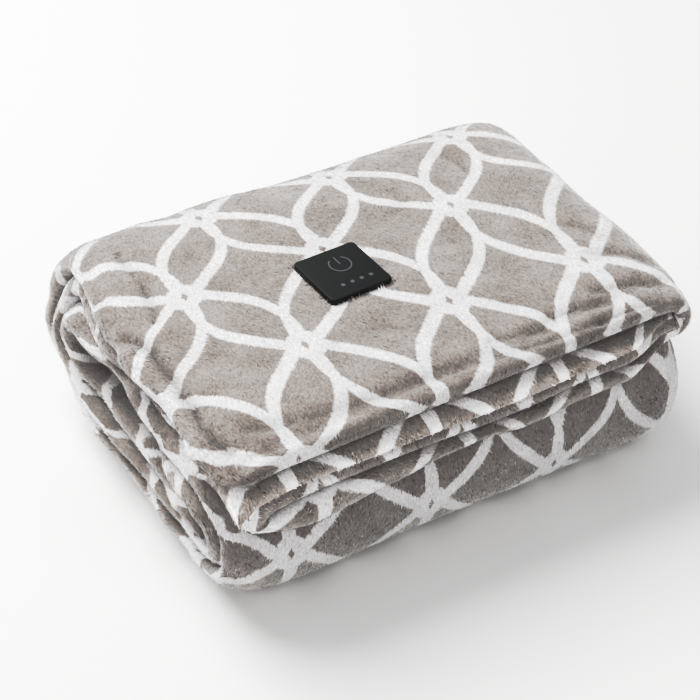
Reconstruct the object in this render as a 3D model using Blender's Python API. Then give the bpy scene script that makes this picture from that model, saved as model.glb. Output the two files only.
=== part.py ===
"""Electric heated lap blanket, folded for storage, with its touch control on top.

The cloth is one thick plush sheet, 0.70 m by 0.96 m. It is doubled across its width,
so that it has an outer and an inner half joined by a fold at the right end (+X), and
is then rolled flat around the X axis into four layers. The front (-Y) shows the hems
of the top layer hanging over the roll, and the left end (-X) shows the side edges.
Metres, +Z up, origin at the middle of the underside.
"""
import math

import bmesh
import bpy
from mathutils import Vector

# Cloth
LEAF = 0.01542            # thickness of the plush sheet
LEAF_GAP = 0.0010         # between the outer and the inner half
LAYER_GAP = 0.0012        # between one layer of the roll and the next
HALF_LAYER = LEAF + LEAF_GAP / 2
PITCH = 2 * HALF_LAYER + LAYER_GAP
HEIGHT = 3 * PITCH + 2 * HALF_LAYER

# Section of the roll, in the YZ plane
BACK_ROLL_Y = 0.0690      # centre of the big turn at the back
FRONT_ROLL_Y = -0.0830    # centre of the turn at the front
HEM_START_Y = -0.0940     # where the hems of the top layer start
CORE_END_Y = -0.0840      # where the innermost layer ends, inside the front turn
CORE_NOSE = 0.0105        # length of its rounded hem

# Each row is one stretch of the roll, from the front hem inwards: the layer that it
# starts on, its turn in degrees, its end, its side edges and its rings of faces.
ROLL = [
    dict(name="top", turn=0, end=BACK_ROLL_Y, outer=-0.1690, inner=-0.1570, right=0.1570, steps=5),
    dict(name="back turn", turn=180, radius=1.5, outer=-0.1690, inner=-0.1600, right=0.1600, steps=12),
    dict(name="underside", turn=0, end=FRONT_ROLL_Y, outer=-0.1700, inner=-0.1640, right=0.1660, steps=4),
    dict(name="front turn", turn=180, radius=1.0, outer=-0.1710, inner=-0.1600, right=0.1640, steps=10),
    dict(name="second", turn=0, end=BACK_ROLL_Y - 0.001, outer=-0.1720, inner=-0.1650, right=0.1510, steps=4),
    dict(name="inner turn", turn=180, radius=0.5, outer=-0.1690, inner=-0.1480, right=0.1490, steps=8),
    dict(name="core", turn=0, end=CORE_END_Y, outer=-0.1670, inner=-0.1280, right=0.1490, steps=4),
]

# Hem of the outer half: it rolls over the front edge
OUTER_HEM_REACH = 0.0325
OUTER_HEM_SLANT = -0.020  # it reaches less far out towards the right end,
OUTER_HEM_DROP = 0.0025
OUTER_HEM_LIFT = 0.024    # and drops less there
CREASE_Y = -0.1130        # soft crease above it, also slanted
CREASE_SLANT = 0.060
CREASE_DEPTH = 0.0016
CREASE_WIDTH = 0.0050

# Hem of the inner half: it spreads over the front turn into two lips with a groove
# between them, and the upper lip has a fold along its front. Y and Z of its inner
# (upper) face and of its outer (lower) face, and how far each follows LIP_HEIGHTS.
LIP_COLUMNS = ("upper_y", "upper_z", "fold", "upper_groove", "lower_y", "lower_z", "groove", "bottom")
LIPS = [dict(zip(LIP_COLUMNS, row)) for row in [
    (-0.1030, 0.1142, 0.0, 0.0, -0.0985, 0.0972, 0.0, 0.0),
    (-0.1140, 0.1137, 0.0, 0.0, -0.1085, 0.0928, 0.0, 0.0),
    (-0.1245, 0.1125, 0.1, 0.0, -0.1170, 0.0862, 0.0, 0.1),
    (-0.1315, 0.1103, 0.4, 0.0, -0.1240, 0.0795, 0.0, 0.3),
    (-0.1350, 0.1075, 0.8, 0.0, -0.1295, 0.0750, 0.0, 0.7),
    (-0.1345, 0.1042, 1.0, 0.0, -0.1335, 0.0740, 0.0, 1.0),
    (-0.1292, 0.1020, 1.0, 0.0, -0.1366, 0.0770, 0.0, 1.0),
    (-0.1330, 0.0990, 0.5, 0.5, -0.1376, 0.0820, 0.3, 0.7),
    (-0.1322, 0.0940, 0.0, 1.0, -0.1358, 0.0882, 0.9, 0.1),
    (-0.1260, 0.0922, 0.0, 1.0, -0.1285, 0.0902, 1.0, 0.0),
    (-0.1180, 0.0912, 0.0, 1.0, -0.1180, 0.0912, 1.0, 0.0),
]]
# How much higher than in LIPS the fold, the groove and the bottom lie, from the left
# end to the right
LIP_HEIGHTS = [
    dict(fold=-0.0015, groove=-0.0060, bottom=0.0070),
    dict(fold=0.0030, groove=0.0010, bottom=0.0000),
    dict(fold=0.0020, groove=0.0015, bottom=0.0030),
    dict(fold=0.0008, groove=0.0005, bottom=0.0060),
    dict(fold=-0.0005, groove=-0.0020, bottom=0.0080),
    dict(fold=0.0005, groove=-0.0010, bottom=0.0060),
    dict(fold=0.0042, groove=0.0042, bottom=0.0100),
    dict(fold=0.0070, groove=0.0050, bottom=0.0130),
    dict(fold=0.0070, groove=0.0050, bottom=0.0140),
]
LIP_HEIGHTS_X = 0.1600    # that table runs from -X to +X
LIPS_SHUT_Y = -0.1320     # where the groove's faces lie at the lips' left tip,
LIPS_TIP_Y = -0.1376      # where the two lips meet
LIPS_SHUT = 0.0050        # the groove is shut over this far from the tip
LIPS_OPEN = 0.0200        # and open from here on
LIPS_SHUT_ROW = 6         # first row of LIPS that belongs to the groove
LIPS_FULL_X = 0.1150      # the lips are full up to here and pinched together
LIPS_PINCHED_X = 0.1650   # by the fold at the right end
PLAIN_HEM_REACH = 0.0320
HEM_ROUNDNESS = 2.6       # 2 is round, more is blunter

# Faces across the width
EDGE_ROUND = 0.0090       # rounding of a side edge, along X
EDGE_STEPS = 3
WIDTH_STEPS = 16
FOLD_STEPS = 6
END_SPREAD = 0.45         # 1 spaces the faces evenly, less crowds them to the ends

# Overall shape of the folded stack
LEFT_RISE = dict(start=-0.1160, radius=0.0860)    # underside curls up to the left end
RIGHT_RISE = dict(start=0.1350, radius=0.0560)    # and a little to the right end
LEFT_DROP = dict(start=-0.1250, radius=0.1400)    # top falls off to the left end
RIGHT_DROP = dict(start=0.1370, radius=0.0700)    # and more to the right end
BACK_FULLNESS = 0.06      # how much squarer than round the back turn is
FRONT_FULLNESS = 0.04     # and the lower part of the front turn
LEFT_BACK_DRAW = 0.03     # share by which the left end is narrower at the back
LEFT_FRONT_DRAW = 0.01    # and at the front
RIGHT_BACK_DRAW = 0.01    # and the right end
RIGHT_FRONT_DRAW = 0.08
DRAW_START = 0.075
HALF_WIDE_Y = 0.135
CURL_LIMIT = 0.98         # a curl stops just short of upright
SWAY = 0.0022             # the inner layers lie in soft waves, up and down
SWAY_LONG_X = 0.270
SWAY_LONG_Y = 0.170
MIDDLE_X = 0.004975       # middle of the finished outline, which becomes the origin
MIDDLE_Y = -0.001560

# Touch control
CONTROL_SIDE = 0.0450
CONTROL_HEIGHT = 0.0040
CONTROL_CORNER = 0.0035
CONTROL_BEVEL = 0.0008
CORNER_STEPS = 4
CONTROL_TURN = math.radians(3.2)
CONTROL_X = -0.0237
CONTROL_Y = -0.0086
SEAT_GAP = 0.0003


def mix(a, b, share):
    """Point or number between a and b."""
    return a + (b - a) * share


def smooth(value, start, end):
    """0 before start and 1 after end, with a soft step between them."""
    share = min(1.0, max(0.0, (value - start) / (end - start)))
    return share * share * (3.0 - 2.0 * share)


def crowd(share):
    """Even steps, crowded towards both ends, where the stack curls."""
    return mix((1.0 - math.cos(math.pi * share)) / 2, share, END_SPREAD)


class Station:
    """One ring of the roll: its four section points and where its edges are."""

    def __init__(self, centre, heading, row, following, share):
        normal = Vector((-math.sin(heading), math.cos(heading)))
        self.outer_out = centre + normal * HALF_LAYER
        self.outer_in = centre + normal * (LEAF_GAP / 2)
        self.inner_in = centre - normal * (LEAF_GAP / 2)
        self.inner_out = centre - normal * HALF_LAYER
        self.set_edges(row, following, share)

    def set_edges(self, row, following, share):
        self.outer_left = mix(row["outer"], following["outer"], share)
        self.inner_left = mix(row["inner"], following["inner"], share)
        self.right = mix(row["right"], following["right"], share)

    def section(self, x):
        """Section points of the ring at this x."""
        return self.outer_out, self.outer_in, self.inner_in, self.inner_out


def lip_height(name, x):
    """One column of LIP_HEIGHTS at this x, on a smooth curve."""
    values = [row[name] for row in LIP_HEIGHTS]
    values = [2 * values[0] - values[1], *values, 2 * values[-1] - values[-2]]
    place = (x / LIP_HEIGHTS_X + 1) / 2 * (len(LIP_HEIGHTS) - 1)
    place = min(max(place, 0.0), len(LIP_HEIGHTS) - 1)
    step = min(int(place), len(LIP_HEIGHTS) - 2)
    t = place - step
    a, b, c, d = values[step:step + 4]
    return b + 0.5 * t * (c - a + t * (2 * a - 5 * b + 4 * c - d + t * (3 * (b - c) + d - a)))


class HemStation(Station):
    """One ring of the front hems, which lie differently along X."""

    def __init__(self, row, step):
        self.set_edges(row, row, 0.0)
        share = (step + 1) / len(LIPS)
        self.share = share
        level = HEIGHT - PITCH + LAYER_GAP + LEAF / 2
        self.plain_in, self.plain_out = self.nose(share, level, PLAIN_HEM_REACH, 0.0)
        lip = LIPS[step]
        self.lip_in = Vector((lip["upper_y"], lip["upper_z"]))
        self.lip_out = Vector((lip["lower_y"], lip["lower_z"]))
        self.lip = lip
        self.shuts = step >= LIPS_SHUT_ROW
        self.shut_y = mix(LIPS_SHUT_Y, LIPS_TIP_Y, share)

    @staticmethod
    def nose(share, level, reach, drop):
        """Upper and lower face of a rounded hem."""
        y = HEM_START_Y - reach * math.sin(share * math.pi / 2)
        middle = level - drop * share ** 2
        half = LEAF / 2 * math.sqrt(1.0 - share ** HEM_ROUNDNESS)
        return Vector((y, middle + half)), Vector((y, middle - half))

    def section(self, x):
        reach = OUTER_HEM_REACH + OUTER_HEM_SLANT * x
        drop = OUTER_HEM_DROP - OUTER_HEM_LIFT * max(0.0, x)
        outer_out, outer_in = self.nose(self.share, HEIGHT - LEAF / 2, reach, drop)
        if self.share < 1:
            off_crease = (outer_out.x - CREASE_Y - CREASE_SLANT * x) / CREASE_WIDTH
            outer_out.y -= CREASE_DEPTH * math.exp(-off_crease ** 2)
        pinch = smooth(x, LIPS_FULL_X, LIPS_PINCHED_X)
        lip_in, lip_out = self.lip_in.copy(), self.lip_out.copy()
        groove = lip_height("groove", x)
        lip_in.y += self.lip["fold"] * lip_height("fold", x) + self.lip["upper_groove"] * groove
        lip_out.y += self.lip["groove"] * groove + self.lip["bottom"] * lip_height("bottom", x)
        shut = self.shuts * (1 - smooth(x - self.inner_left, LIPS_SHUT, LIPS_OPEN))
        lip_in.x = mix(lip_in.x, self.shut_y, shut)
        lip_out.x = mix(lip_out.x, self.shut_y, shut)
        inner_in = mix(lip_in, self.plain_in, pinch)
        inner_out = mix(lip_out, self.plain_out, pinch)
        return outer_out, outer_in, inner_in, inner_out


def roll_stations():
    """Rings of the whole roll, from the front hem to the end of the core."""
    stations = [HemStation(ROLL[0], step) for step in reversed(range(len(LIPS)))]
    place = Vector((HEM_START_Y, HEIGHT - HALF_LAYER))
    heading = 0.0
    for row, following in zip(ROLL, ROLL[1:] + ROLL[-1:]):
        start, first_heading = place.copy(), heading
        forward = Vector((math.cos(heading), math.sin(heading)))
        normal = Vector((-forward.y, forward.x))
        for step in range(row["steps"]):
            share = step / row["steps"]
            if row["turn"]:
                radius = row["radius"] * PITCH
                angle = math.radians(row["turn"]) * share
                place = start - normal * radius * (1 - math.cos(angle)) + forward * radius * math.sin(angle)
                heading = first_heading - angle
            else:
                place = start + forward * abs(row["end"] - start.x) * share
            stations.append(Station(place, heading, row, following, share))
        if row["turn"]:
            place = start - normal * 2 * row["radius"] * PITCH
            heading = first_heading - math.radians(row["turn"])
        else:
            place = start + forward * abs(row["end"] - start.x)
    stations += core_hem(place, heading)
    return stations


def core_hem(place, heading):
    """Rounded hem at the inner end of the roll."""
    rings = []
    forward = Vector((math.cos(heading), math.sin(heading)))
    for step in range(EDGE_STEPS + 1):
        angle = math.pi / 2 * step / EDGE_STEPS
        ring = Station(place + forward * CORE_NOSE * math.sin(angle), heading, ROLL[-1], ROLL[-1], 0.0)
        outer = (ring.outer_out + ring.outer_in) / 2
        inner = (ring.inner_out + ring.inner_in) / 2
        ring.outer_out = mix(outer, ring.outer_out, math.cos(angle))
        ring.outer_in = mix(outer, ring.outer_in, math.cos(angle))
        ring.inner_out = mix(inner, ring.inner_out, math.cos(angle))
        ring.inner_in = mix(inner, ring.inner_in, math.cos(angle))
        rings.append(ring)
    return rings


def ring_points(station):
    """Outside and inside face of the doubled cloth along one ring, left edge to left edge."""
    outside, inside = [], []

    def add(x, out, within):
        outside.append(Vector((x, out.x, out.y)))
        inside.append(Vector((x, within.x, within.y)))

    def half(left, pick_out, pick_in):
        points = []
        for step in range(EDGE_STEPS):
            angle = math.pi / 2 * step / EDGE_STEPS
            x = left + EDGE_ROUND * (1 - math.cos(angle))
            section = station.section(x)
            middle = (section[pick_out] + section[pick_in]) / 2
            points.append((x, mix(middle, section[pick_out], math.sin(angle)),
                           mix(middle, section[pick_in], math.sin(angle))))
        for step in range(WIDTH_STEPS + 1):
            x = mix(left + EDGE_ROUND, station.right, crowd(step / WIDTH_STEPS))
            section = station.section(x)
            points.append((x, section[pick_out], section[pick_in]))
        return points

    for x, out, within in half(station.outer_left, 0, 1):
        add(x, out, within)
    outer_out, outer_in, inner_in, inner_out = station.section(station.right)
    depth = (outer_out - inner_out).length / 2
    slot = (outer_in - inner_in).length / 2
    for step in range(1, FOLD_STEPS):
        angle = math.pi * step / FOLD_STEPS
        share = (1 - math.cos(angle)) / 2
        x = station.right + depth * math.sin(angle)
        add(x, mix(outer_out, inner_out, share), mix(outer_in, inner_in, share))
        inside[-1].x = station.right + slot * math.sin(angle)
    for x, out, within in reversed(half(station.inner_left, 3, 2)):
        add(x, out, within)
    return outside, inside


def curl(x, start, radius, sign):
    """Height by which a round end of this radius has left the flat."""
    past = max(0.0, sign * (x - start))
    past = min(past, radius * CURL_LIMIT)
    return radius - math.sqrt(radius ** 2 - past ** 2)


def fill_turn(y, z, centre_y, centre_z, fullness):
    """Push a turn of the roll out between its highest and its furthest point."""
    past, up = y - centre_y, z - centre_z
    reach = math.hypot(past, up)
    spread = 2 * past * up / reach ** 2 if reach else 0.0
    scale = 1 + fullness * spread ** 2
    return centre_y + past * scale, centre_z + up * scale


def settle(point):
    """The stack's own uneven shape: full turns, curled ends and drawn-in corners."""
    x, y, z = point
    if y > BACK_ROLL_Y:
        y, z = fill_turn(y, z, BACK_ROLL_Y, HEIGHT / 2, BACK_FULLNESS)
    if y < FRONT_ROLL_Y and z < HALF_LAYER + PITCH:
        y, z = fill_turn(y, z, FRONT_ROLL_Y, HALF_LAYER + PITCH, FRONT_FULLNESS)
    wave = math.sin(2 * math.pi * (x / SWAY_LONG_X + y / SWAY_LONG_Y))
    z += SWAY * wave * 4 * z * (HEIGHT - z) / HEIGHT ** 2
    rise = curl(x, sign=-1, **LEFT_RISE) + curl(x, sign=1, **RIGHT_RISE)
    drop = curl(x, sign=-1, **LEFT_DROP) + curl(x, sign=1, **RIGHT_DROP)
    height = z + rise * (1 - z / HEIGHT) - drop * z / HEIGHT
    past = max(0.0, abs(y) - DRAW_START) / (HALF_WIDE_Y - DRAW_START)
    if y > 0:
        draw = LEFT_BACK_DRAW if x < 0 else RIGHT_BACK_DRAW
    else:
        draw = LEFT_FRONT_DRAW if x < 0 else RIGHT_FRONT_DRAW
    return Vector((x * (1 - draw * past ** 2) - MIDDLE_X, y - MIDDLE_Y, height))


def build_cloth(material):
    mesh = bmesh.new()
    rings = [ring_points(station) for station in roll_stations()]
    last_ring, last_point = len(rings) - 1, len(rings[0][0]) - 1
    outside, inside = [], []
    for number, (out, within) in enumerate(rings):
        outside.append([mesh.verts.new(settle(point)) for point in out])
        row = []
        for place, point in enumerate(within):
            shared = number in (0, last_ring) or place in (0, last_point)
            row.append(outside[-1][place] if shared else mesh.verts.new(settle(point)))
        inside.append(row)
    for face in (outside, inside):
        for number in range(last_ring):
            for place in range(last_point):
                a, b = face[number][place], face[number][place + 1]
                d, c = face[number + 1][place], face[number + 1][place + 1]
                if (number < last_ring / 2) == (place < last_point / 2):
                    halves = (a, b, c), (a, c, d)
                else:
                    halves = (a, b, d), (b, c, d)
                for corners in halves:
                    mesh.faces.new(corners)
    bmesh.ops.recalc_face_normals(mesh, faces=mesh.faces)
    return add_object("blanket", mesh, material)


def build_control(material):
    mesh = bmesh.new()
    straight = CONTROL_SIDE / 2 - CONTROL_CORNER
    corners = []
    for quarter in range(4):
        angle = math.pi / 2 * quarter
        centre = Vector((straight, straight, 0.0))
        for step in range(CORNER_STEPS + 1):
            turn = math.pi / 2 * step / CORNER_STEPS
            arm = Vector((math.cos(turn), math.sin(turn), 0.0)) * CONTROL_CORNER
            corners.append((centre + arm, angle))
    base = HEIGHT + SEAT_GAP
    ring = []
    for place, angle in corners:
        angle += CONTROL_TURN
        x = place.x * math.cos(angle) - place.y * math.sin(angle)
        y = place.x * math.sin(angle) + place.y * math.cos(angle)
        ring.append(mesh.verts.new((CONTROL_X + x - MIDDLE_X, CONTROL_Y + y - MIDDLE_Y, base)))
    floor = mesh.faces.new(ring)
    raised = bmesh.ops.extrude_face_region(mesh, geom=[floor])["geom"]
    lifted = [item for item in raised if isinstance(item, bmesh.types.BMVert)]
    bmesh.ops.translate(mesh, verts=lifted, vec=(0, 0, CONTROL_HEIGHT))
    top = base + CONTROL_HEIGHT
    rim = [edge for edge in mesh.edges if all(vert.co.z > top - 1e-6 for vert in edge.verts)]
    bmesh.ops.bevel(mesh, geom=rim, offset=CONTROL_BEVEL, segments=2, profile=0.5, affect='EDGES')
    bmesh.ops.recalc_face_normals(mesh, faces=mesh.faces)
    return add_object("touch_control", mesh, material)


def add_object(name, mesh, material):
    data = bpy.data.meshes.new(name)
    mesh.to_mesh(data)
    mesh.free()
    data.materials.append(material)
    data.shade_smooth()
    thing = bpy.data.objects.new(name, data)
    bpy.context.scene.collection.objects.link(thing)
    return thing


def finish(name, colour, roughness):
    material = bpy.data.materials.new(name)
    material.use_nodes = True
    shader = material.node_tree.nodes["Principled BSDF"]
    shader.inputs["Base Color"].default_value = (*colour, 1.0)
    shader.inputs["Roughness"].default_value = roughness
    shader.inputs["Metallic"].default_value = 0.0
    return material


def main():
    for thing in list(bpy.data.objects):
        bpy.data.objects.remove(thing)
    build_cloth(finish("plush", (0.42, 0.37, 0.34), 0.95))
    build_control(finish("black_plastic", (0.012, 0.014, 0.015), 0.55))


main()
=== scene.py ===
import math

import bmesh
import bpy
import numpy as np
from mathutils import Matrix, Vector
from mathutils.bvhtree import BVHTree


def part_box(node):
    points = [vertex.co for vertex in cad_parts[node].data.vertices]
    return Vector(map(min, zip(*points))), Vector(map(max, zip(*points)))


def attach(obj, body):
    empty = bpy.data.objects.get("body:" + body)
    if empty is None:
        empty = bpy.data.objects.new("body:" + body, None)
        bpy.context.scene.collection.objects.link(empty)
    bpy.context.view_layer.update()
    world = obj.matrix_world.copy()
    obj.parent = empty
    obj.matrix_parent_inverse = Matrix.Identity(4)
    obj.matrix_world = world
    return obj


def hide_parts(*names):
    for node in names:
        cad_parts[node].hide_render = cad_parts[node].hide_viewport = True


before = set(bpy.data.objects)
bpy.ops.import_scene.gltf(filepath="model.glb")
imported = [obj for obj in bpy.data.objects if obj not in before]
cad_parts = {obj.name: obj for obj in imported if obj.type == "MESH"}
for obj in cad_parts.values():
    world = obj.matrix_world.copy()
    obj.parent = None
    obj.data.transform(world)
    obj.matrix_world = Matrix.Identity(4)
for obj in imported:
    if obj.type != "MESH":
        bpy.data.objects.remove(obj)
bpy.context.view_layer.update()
print("frame loaded")

# ---- the folded cloth, in metres; its stack is described before it is centred on the origin
cloth = dict(
    leaf=0.01542, leafGap=0.0010, layerGap=0.0012,      # plush sheet, gap between halves, gap between layers
    middle=(0.004975, -0.001560),                       # middle of the stack's outline
    hemStart=-0.0940, coreNose=0.0105,
    edgeRound=0.0090, edgeArc=0.0131,                   # rounding of a side edge, along X and on the cloth
    turnY=dict(back=0.0690, front=-0.0830),
    flat=(0.70, 0.96),                                  # width and length, laid flat
    columns=dict(edge=6, outer=108, fold=14, inner=50),     # faces across
    evenness=0.6,                                       # below 1 the columns are closer at both ends
    hemRings=26, hemSpacing=1.6, noseRings=6,           # above 1 the rings are closer at a hem's tip
)
halfLayer = cloth["leaf"] + cloth["leafGap"] / 2
pitch = 2 * halfLayer + cloth["layerGap"]
stackHeight = 3 * pitch + 2 * halfLayer

roll = [
    dict(name="top", turn=0, end=0.0690, outer=-0.1690, inner=-0.1570, right=0.1570, rings=80),
    dict(name="back turn", turn=180, radius=1.5, outer=-0.1690, inner=-0.1600, right=0.1600, rings=44),
    dict(name="underside", turn=0, end=-0.0830, outer=-0.1700, inner=-0.1640, right=0.1660, rings=20),
    dict(name="front turn", turn=180, radius=1.0, outer=-0.1710, inner=-0.1600, right=0.1640, rings=44),
    dict(name="second", turn=0, end=0.0680, outer=-0.1720, inner=-0.1650, right=0.1510, rings=16),
    dict(name="inner turn", turn=180, radius=0.5, outer=-0.1690, inner=-0.1480, right=0.1490, rings=12),
    dict(name="core", turn=0, end=-0.0840, outer=-0.1670, inner=-0.1280, right=0.1490, rings=14),
]

outerHem = dict(reach=0.0325, slant=-0.020, drop=0.0025, lift=0.024, round=2.6,
                creaseY=-0.1130, creaseSlant=0.060, creaseDepth=0.0016, creaseWidth=0.0050, creaseFrom=0.9)

# the inner half's hem spreads over the front turn into two lips; each row has a place on the upper and the
# lower face, and how far that place follows the heights of the fold, groove and bottom
lipColumns = ("upperY", "upperZ", "fold", "upperGroove", "lowerY", "lowerZ", "groove", "bottom")
lips = [dict(zip(lipColumns, row)) for row in [
    (-0.0940, 0.1145, 0.0, 0.0, -0.0940, 0.0991, 0.0, 0.0),
    (-0.1030, 0.1142, 0.0, 0.0, -0.0985, 0.0972, 0.0, 0.0),
    (-0.1140, 0.1137, 0.0, 0.0, -0.1085, 0.0928, 0.0, 0.0),
    (-0.1245, 0.1125, 0.1, 0.0, -0.1170, 0.0862, 0.0, 0.1),
    (-0.1315, 0.1103, 0.4, 0.0, -0.1240, 0.0795, 0.0, 0.3),
    (-0.1350, 0.1075, 0.8, 0.0, -0.1295, 0.0750, 0.0, 0.7),
    (-0.1345, 0.1042, 1.0, 0.0, -0.1335, 0.0740, 0.0, 1.0),
    (-0.1270, 0.1020, 1.0, 0.0, -0.1366, 0.0770, 0.0, 1.0),
    (-0.1330, 0.0990, 0.5, 0.5, -0.1376, 0.0828, 0.3, 0.7),
    (-0.1322, 0.0940, 0.0, 1.0, -0.1361, 0.0900, 0.9, 0.1),
    (-0.1260, 0.0922, 0.0, 1.0, -0.1288, 0.0910, 1.0, 0.0),
    (-0.1180, 0.0912, 0.0, 1.0, -0.1180, 0.0912, 1.0, 0.0),
]]
lipHeights = [                                          # extra height in mm, from the left end to the right
    dict(fold=-1.5, groove=-6.0, bottom=7.0),
    dict(fold=3.0, groove=1.0, bottom=0.0),
    dict(fold=2.0, groove=1.5, bottom=3.0),
    dict(fold=0.8, groove=0.5, bottom=6.0),
    dict(fold=-0.5, groove=-2.0, bottom=8.0),
    dict(fold=0.5, groove=-1.0, bottom=6.0),
    dict(fold=4.2, groove=4.2, bottom=10.0),
    dict(fold=7.0, groove=5.0, bottom=13.0),
    dict(fold=7.0, groove=5.0, bottom=14.0),
]
innerHem = dict(shutY=-0.1320, tipY=-0.1376, shut=0.0050, open=0.0200, shutFrom=0.5, shutTo=0.6,
                halfLength=0.1600, full=0.1150, pinched=0.1650, plainReach=0.0320)

stack = dict(
    leftRise=(-1, -0.1160, 0.0860), rightRise=(1, 0.1350, 0.0560),   # side, where it starts, radius
    leftDrop=(-1, -0.1250, 0.1080), rightDrop=(1, 0.1370, 0.0700), curlLimit=0.98,
    backFullness=0.06, frontFullness=0.04,
    draw=dict(leftBack=0.03, leftFront=0.01, rightBack=0.01, rightFront=0.08), drawStart=0.075, drawEnd=0.135,
    sway=0.0022, swayX=0.270, swayY=0.170,
)

relief = dict(
    rim=0.017, rimFullness=2.2,                         # how far in a side edge starts to round off
    edges=[dict(size=0.042, outer=0.0034, inner=0.0040), dict(size=0.015, outer=0.0014, inner=0.0016)],
    hemWalk=0.045, hemDepth=0.040,                      # a hem's length for its waves, and for its corner
    corners=dict(outer=0.0160, inner=0.0100), innerReach=0.0045,        # rounding of the hems' left corners
    backCorner=dict(walk=0.190, width=0.048, short=0.0110), fill=0.0075,
    lumps=[dict(size=0.048, height=0.0010), dict(size=0.021, height=0.0006),
           dict(size=0.009, height=0.00018)],
    sideLumps=0.0024, sideLump=0.022, sideReach=0.045,
    seeds=dict(outer=3, inner=8, lumps=11, side=21, stray=(41, 42)),
    flatBelow=0.003, fullAbove=0.030,                   # heights over the floor between which relief sets in
    stray=0.055, straySizes=(0.011, 0.013), strayFrom=0.040, strayTo=0.012,     # the print's at the left end
    keen=1.5,                                           # 1 makes sharp creases, and 2 soft round ones
    creases=[                                           # across and along the cloth in mm
        dict(depth=2.9, width=4.4, line=[(106, -1), (134, -6), (153, -14)]),
        dict(depth=3.0, width=4.4, line=[(70, -8), (92, -10), (112, -13)]),
        dict(depth=2.1, width=4.4, line=[(22, -10), (42, -12), (60, -15)]),
        dict(depth=2.3, width=5.6, line=[(128, 68), (138, 58), (146, 44)]),
        dict(depth=2.6, width=4.6, line=[(130, 31), (147, 19), (160, 6)]),
        dict(depth=2.4, width=5.0, line=[(98, -27), (123, -26), (142, -29)]),
        dict(depth=2.0, width=3.3, line=[(104, 174), (108, 158), (109, 141)]),
        dict(depth=1.8, width=3.3, line=[(49, 147), (52, 134)]),
        dict(depth=2.4, width=2.8, line=[(-136, 172), (-136, 148), (-137, 130), (-140, 114), (-144, 104)]),
        dict(depth=3.8, width=3.4, line=[(-164, 106), (-159, 92), (-157, 84), (-158, 66), (-157, 54),
                                         (-159, 40), (-159, 26), (-161, 12), (-161, -4), (-157, -16)]),
        dict(depth=-1.4, width=6.0, line=[(-150, 172), (-151, 144), (-155, 116)]),      # the rim's own roll
        dict(depth=-0.8, width=3.6, line=[(-167, 92), (-167, 60), (-168, 20), (-169, -6)]),
        dict(depth=2.2, width=6.0, line=[(-140, -10), (-113, -17), (-62, -20), (-8, -21), (49, -25),
                                         (96, -26)]),
        dict(depth=0.9, width=7.0, line=[(59, 57), (62, 37), (52, 17)]),
        dict(depth=0.7, width=8.0, line=[(-60, 36), (-20, 24), (14, 30)]),
        dict(depth=0.7, width=9.0, line=[(-30, 128), (10, 140), (40, 124)]),
        dict(depth=0.8, width=8.0, line=[(84, 112), (112, 104), (140, 112)]),
    ],
)


def mix(a, b, share):
    return a + (b - a) * share


def smooth(value, start, end):  # soft step from 0 to 1
    share = np.clip((value - start) / (end - start), 0.0, 1.0)
    return share * share * (3.0 - 2.0 * share)


def unit(ways):
    return ways / np.maximum(np.linalg.norm(ways, axis=-1, keepdims=True), 1e-12)


def through(rows, name, share):  # smooth curve through one column of a table
    values = np.array([row[name] for row in rows], float)
    values = np.concatenate([[2 * values[0] - values[1]], values, [2 * values[-1] - values[-2]]])
    place = np.clip(share, 0.0, 1.0) * (len(rows) - 1)
    step = np.minimum(place.astype(int) if np.ndim(place) else int(place), len(rows) - 2)
    t = place - step
    a, b, c, d = (values[step + k] for k in range(4))
    return b + 0.5 * t * (c - a + t * (2 * a - 5 * b + 4 * c - d + t * (3 * (b - c) + d - a)))


def unevenness(a, b, size, seed):  # soft random waves, about -1 to 1
    cells, start = 64, 200.0
    grid = np.random.default_rng(seed).uniform(-1.0, 1.0, (cells, cells))
    a, b = a / size + start, b / size + start
    row, column = np.floor(a).astype(int), np.floor(b).astype(int)
    across, up = smooth(a - row, 0.0, 1.0), smooth(b - column, 0.0, 1.0)

    def level(step):  # between two neighbouring values, in this column of the grid or the next
        beside = (column + step) % cells
        return mix(grid[row % cells, beside], grid[(row + 1) % cells, beside], across)

    return mix(level(0), level(1), up)


def fromLine(a, b, line):  # distance to a line of straight pieces
    nearest = np.full(np.shape(a), np.inf)
    for (startA, startB), (endA, endB) in zip(line, line[1:]):
        stepA, stepB = endA - startA, endB - startB
        share = np.clip(((a - startA) * stepA + (b - startB) * stepB) / (stepA ** 2 + stepB ** 2), 0.0, 1.0)
        nearest = np.minimum(nearest, np.hypot(a - startA - share * stepA, b - startB - share * stepB))
    return nearest


def hemNose(share, level, reach, drop):  # upper and lower face of a rounded hem
    y = cloth["hemStart"] - reach * math.sin(share * math.pi / 2)
    centre = level - drop * share ** 2
    half = cloth["leaf"] / 2 * math.sqrt(max(0.0, 1.0 - share ** outerHem["round"]))
    return np.stack([y, y * 0 + centre + half], -1), np.stack([y, y * 0 + centre - half], -1)


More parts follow.
